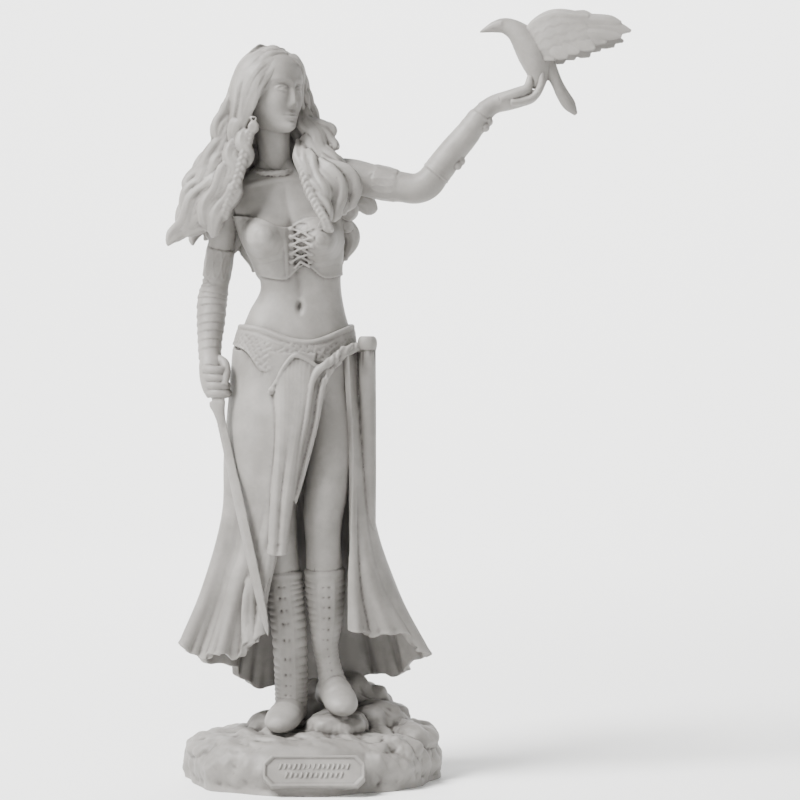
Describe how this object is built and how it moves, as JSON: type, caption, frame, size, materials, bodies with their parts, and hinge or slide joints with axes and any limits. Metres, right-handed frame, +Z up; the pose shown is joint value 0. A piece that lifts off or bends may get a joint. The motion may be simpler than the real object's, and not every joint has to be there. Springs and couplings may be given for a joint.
{
  "type": "statuette",
  "caption": "Standing goddess statuette cast with its rock base: long waving hair, laced bodice, wrap skirt, sword held point down, raven on the raised hand",
  "frame": {"origin": "middle of the rock base's flat underside", "axes": "+X to the viewer's right, the side of the raven; +Y away from the viewer, to the figure's back; +Z up"},
  "size_m": [0.1598, 0.0762, 0.2686],
  "materials": {
    "cast_marble": "satin-matte cold-cast marble: white marble powder in resin"
  },
  "bodies": {
    "root": {"goddess_statue": "cast_marble"}
  },
  "joints": []
}
